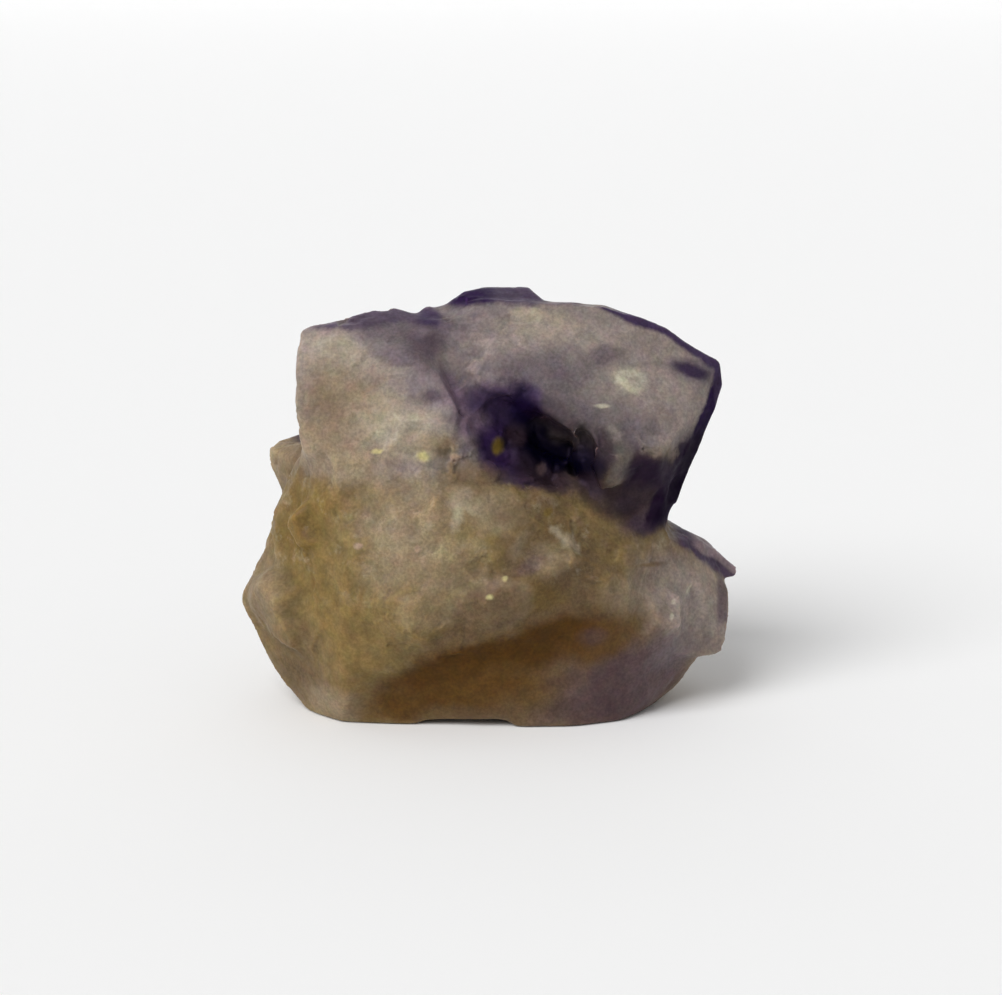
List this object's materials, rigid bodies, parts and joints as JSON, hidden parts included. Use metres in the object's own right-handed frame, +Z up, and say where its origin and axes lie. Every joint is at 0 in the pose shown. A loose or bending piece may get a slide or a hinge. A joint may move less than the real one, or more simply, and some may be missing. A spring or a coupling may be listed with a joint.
{
  "type": "blue john fluorite specimen",
  "caption": "Rough hand-sized lump of banded blue john fluorite: pale lilac blocks with dark purple growth faces, a dark crystal-lined pocket and a honey-coloured mass below.",
  "frame": {"origin": "middle of the bounding box in X and Y, at the height of the flat break that the lump rests on", "axes": "+Z up, +X to the right of the side that shows best, which faces -Y"},
  "size_m": [0.08, 0.0472, 0.0665],
  "materials": {
    "fluorite": "broken translucent crystal, lilac-grey to honey with dark purple bands"
  },
  "bodies": {
    "root": {"blue_john_lump": "fluorite"}
  },
  "joints": []
}
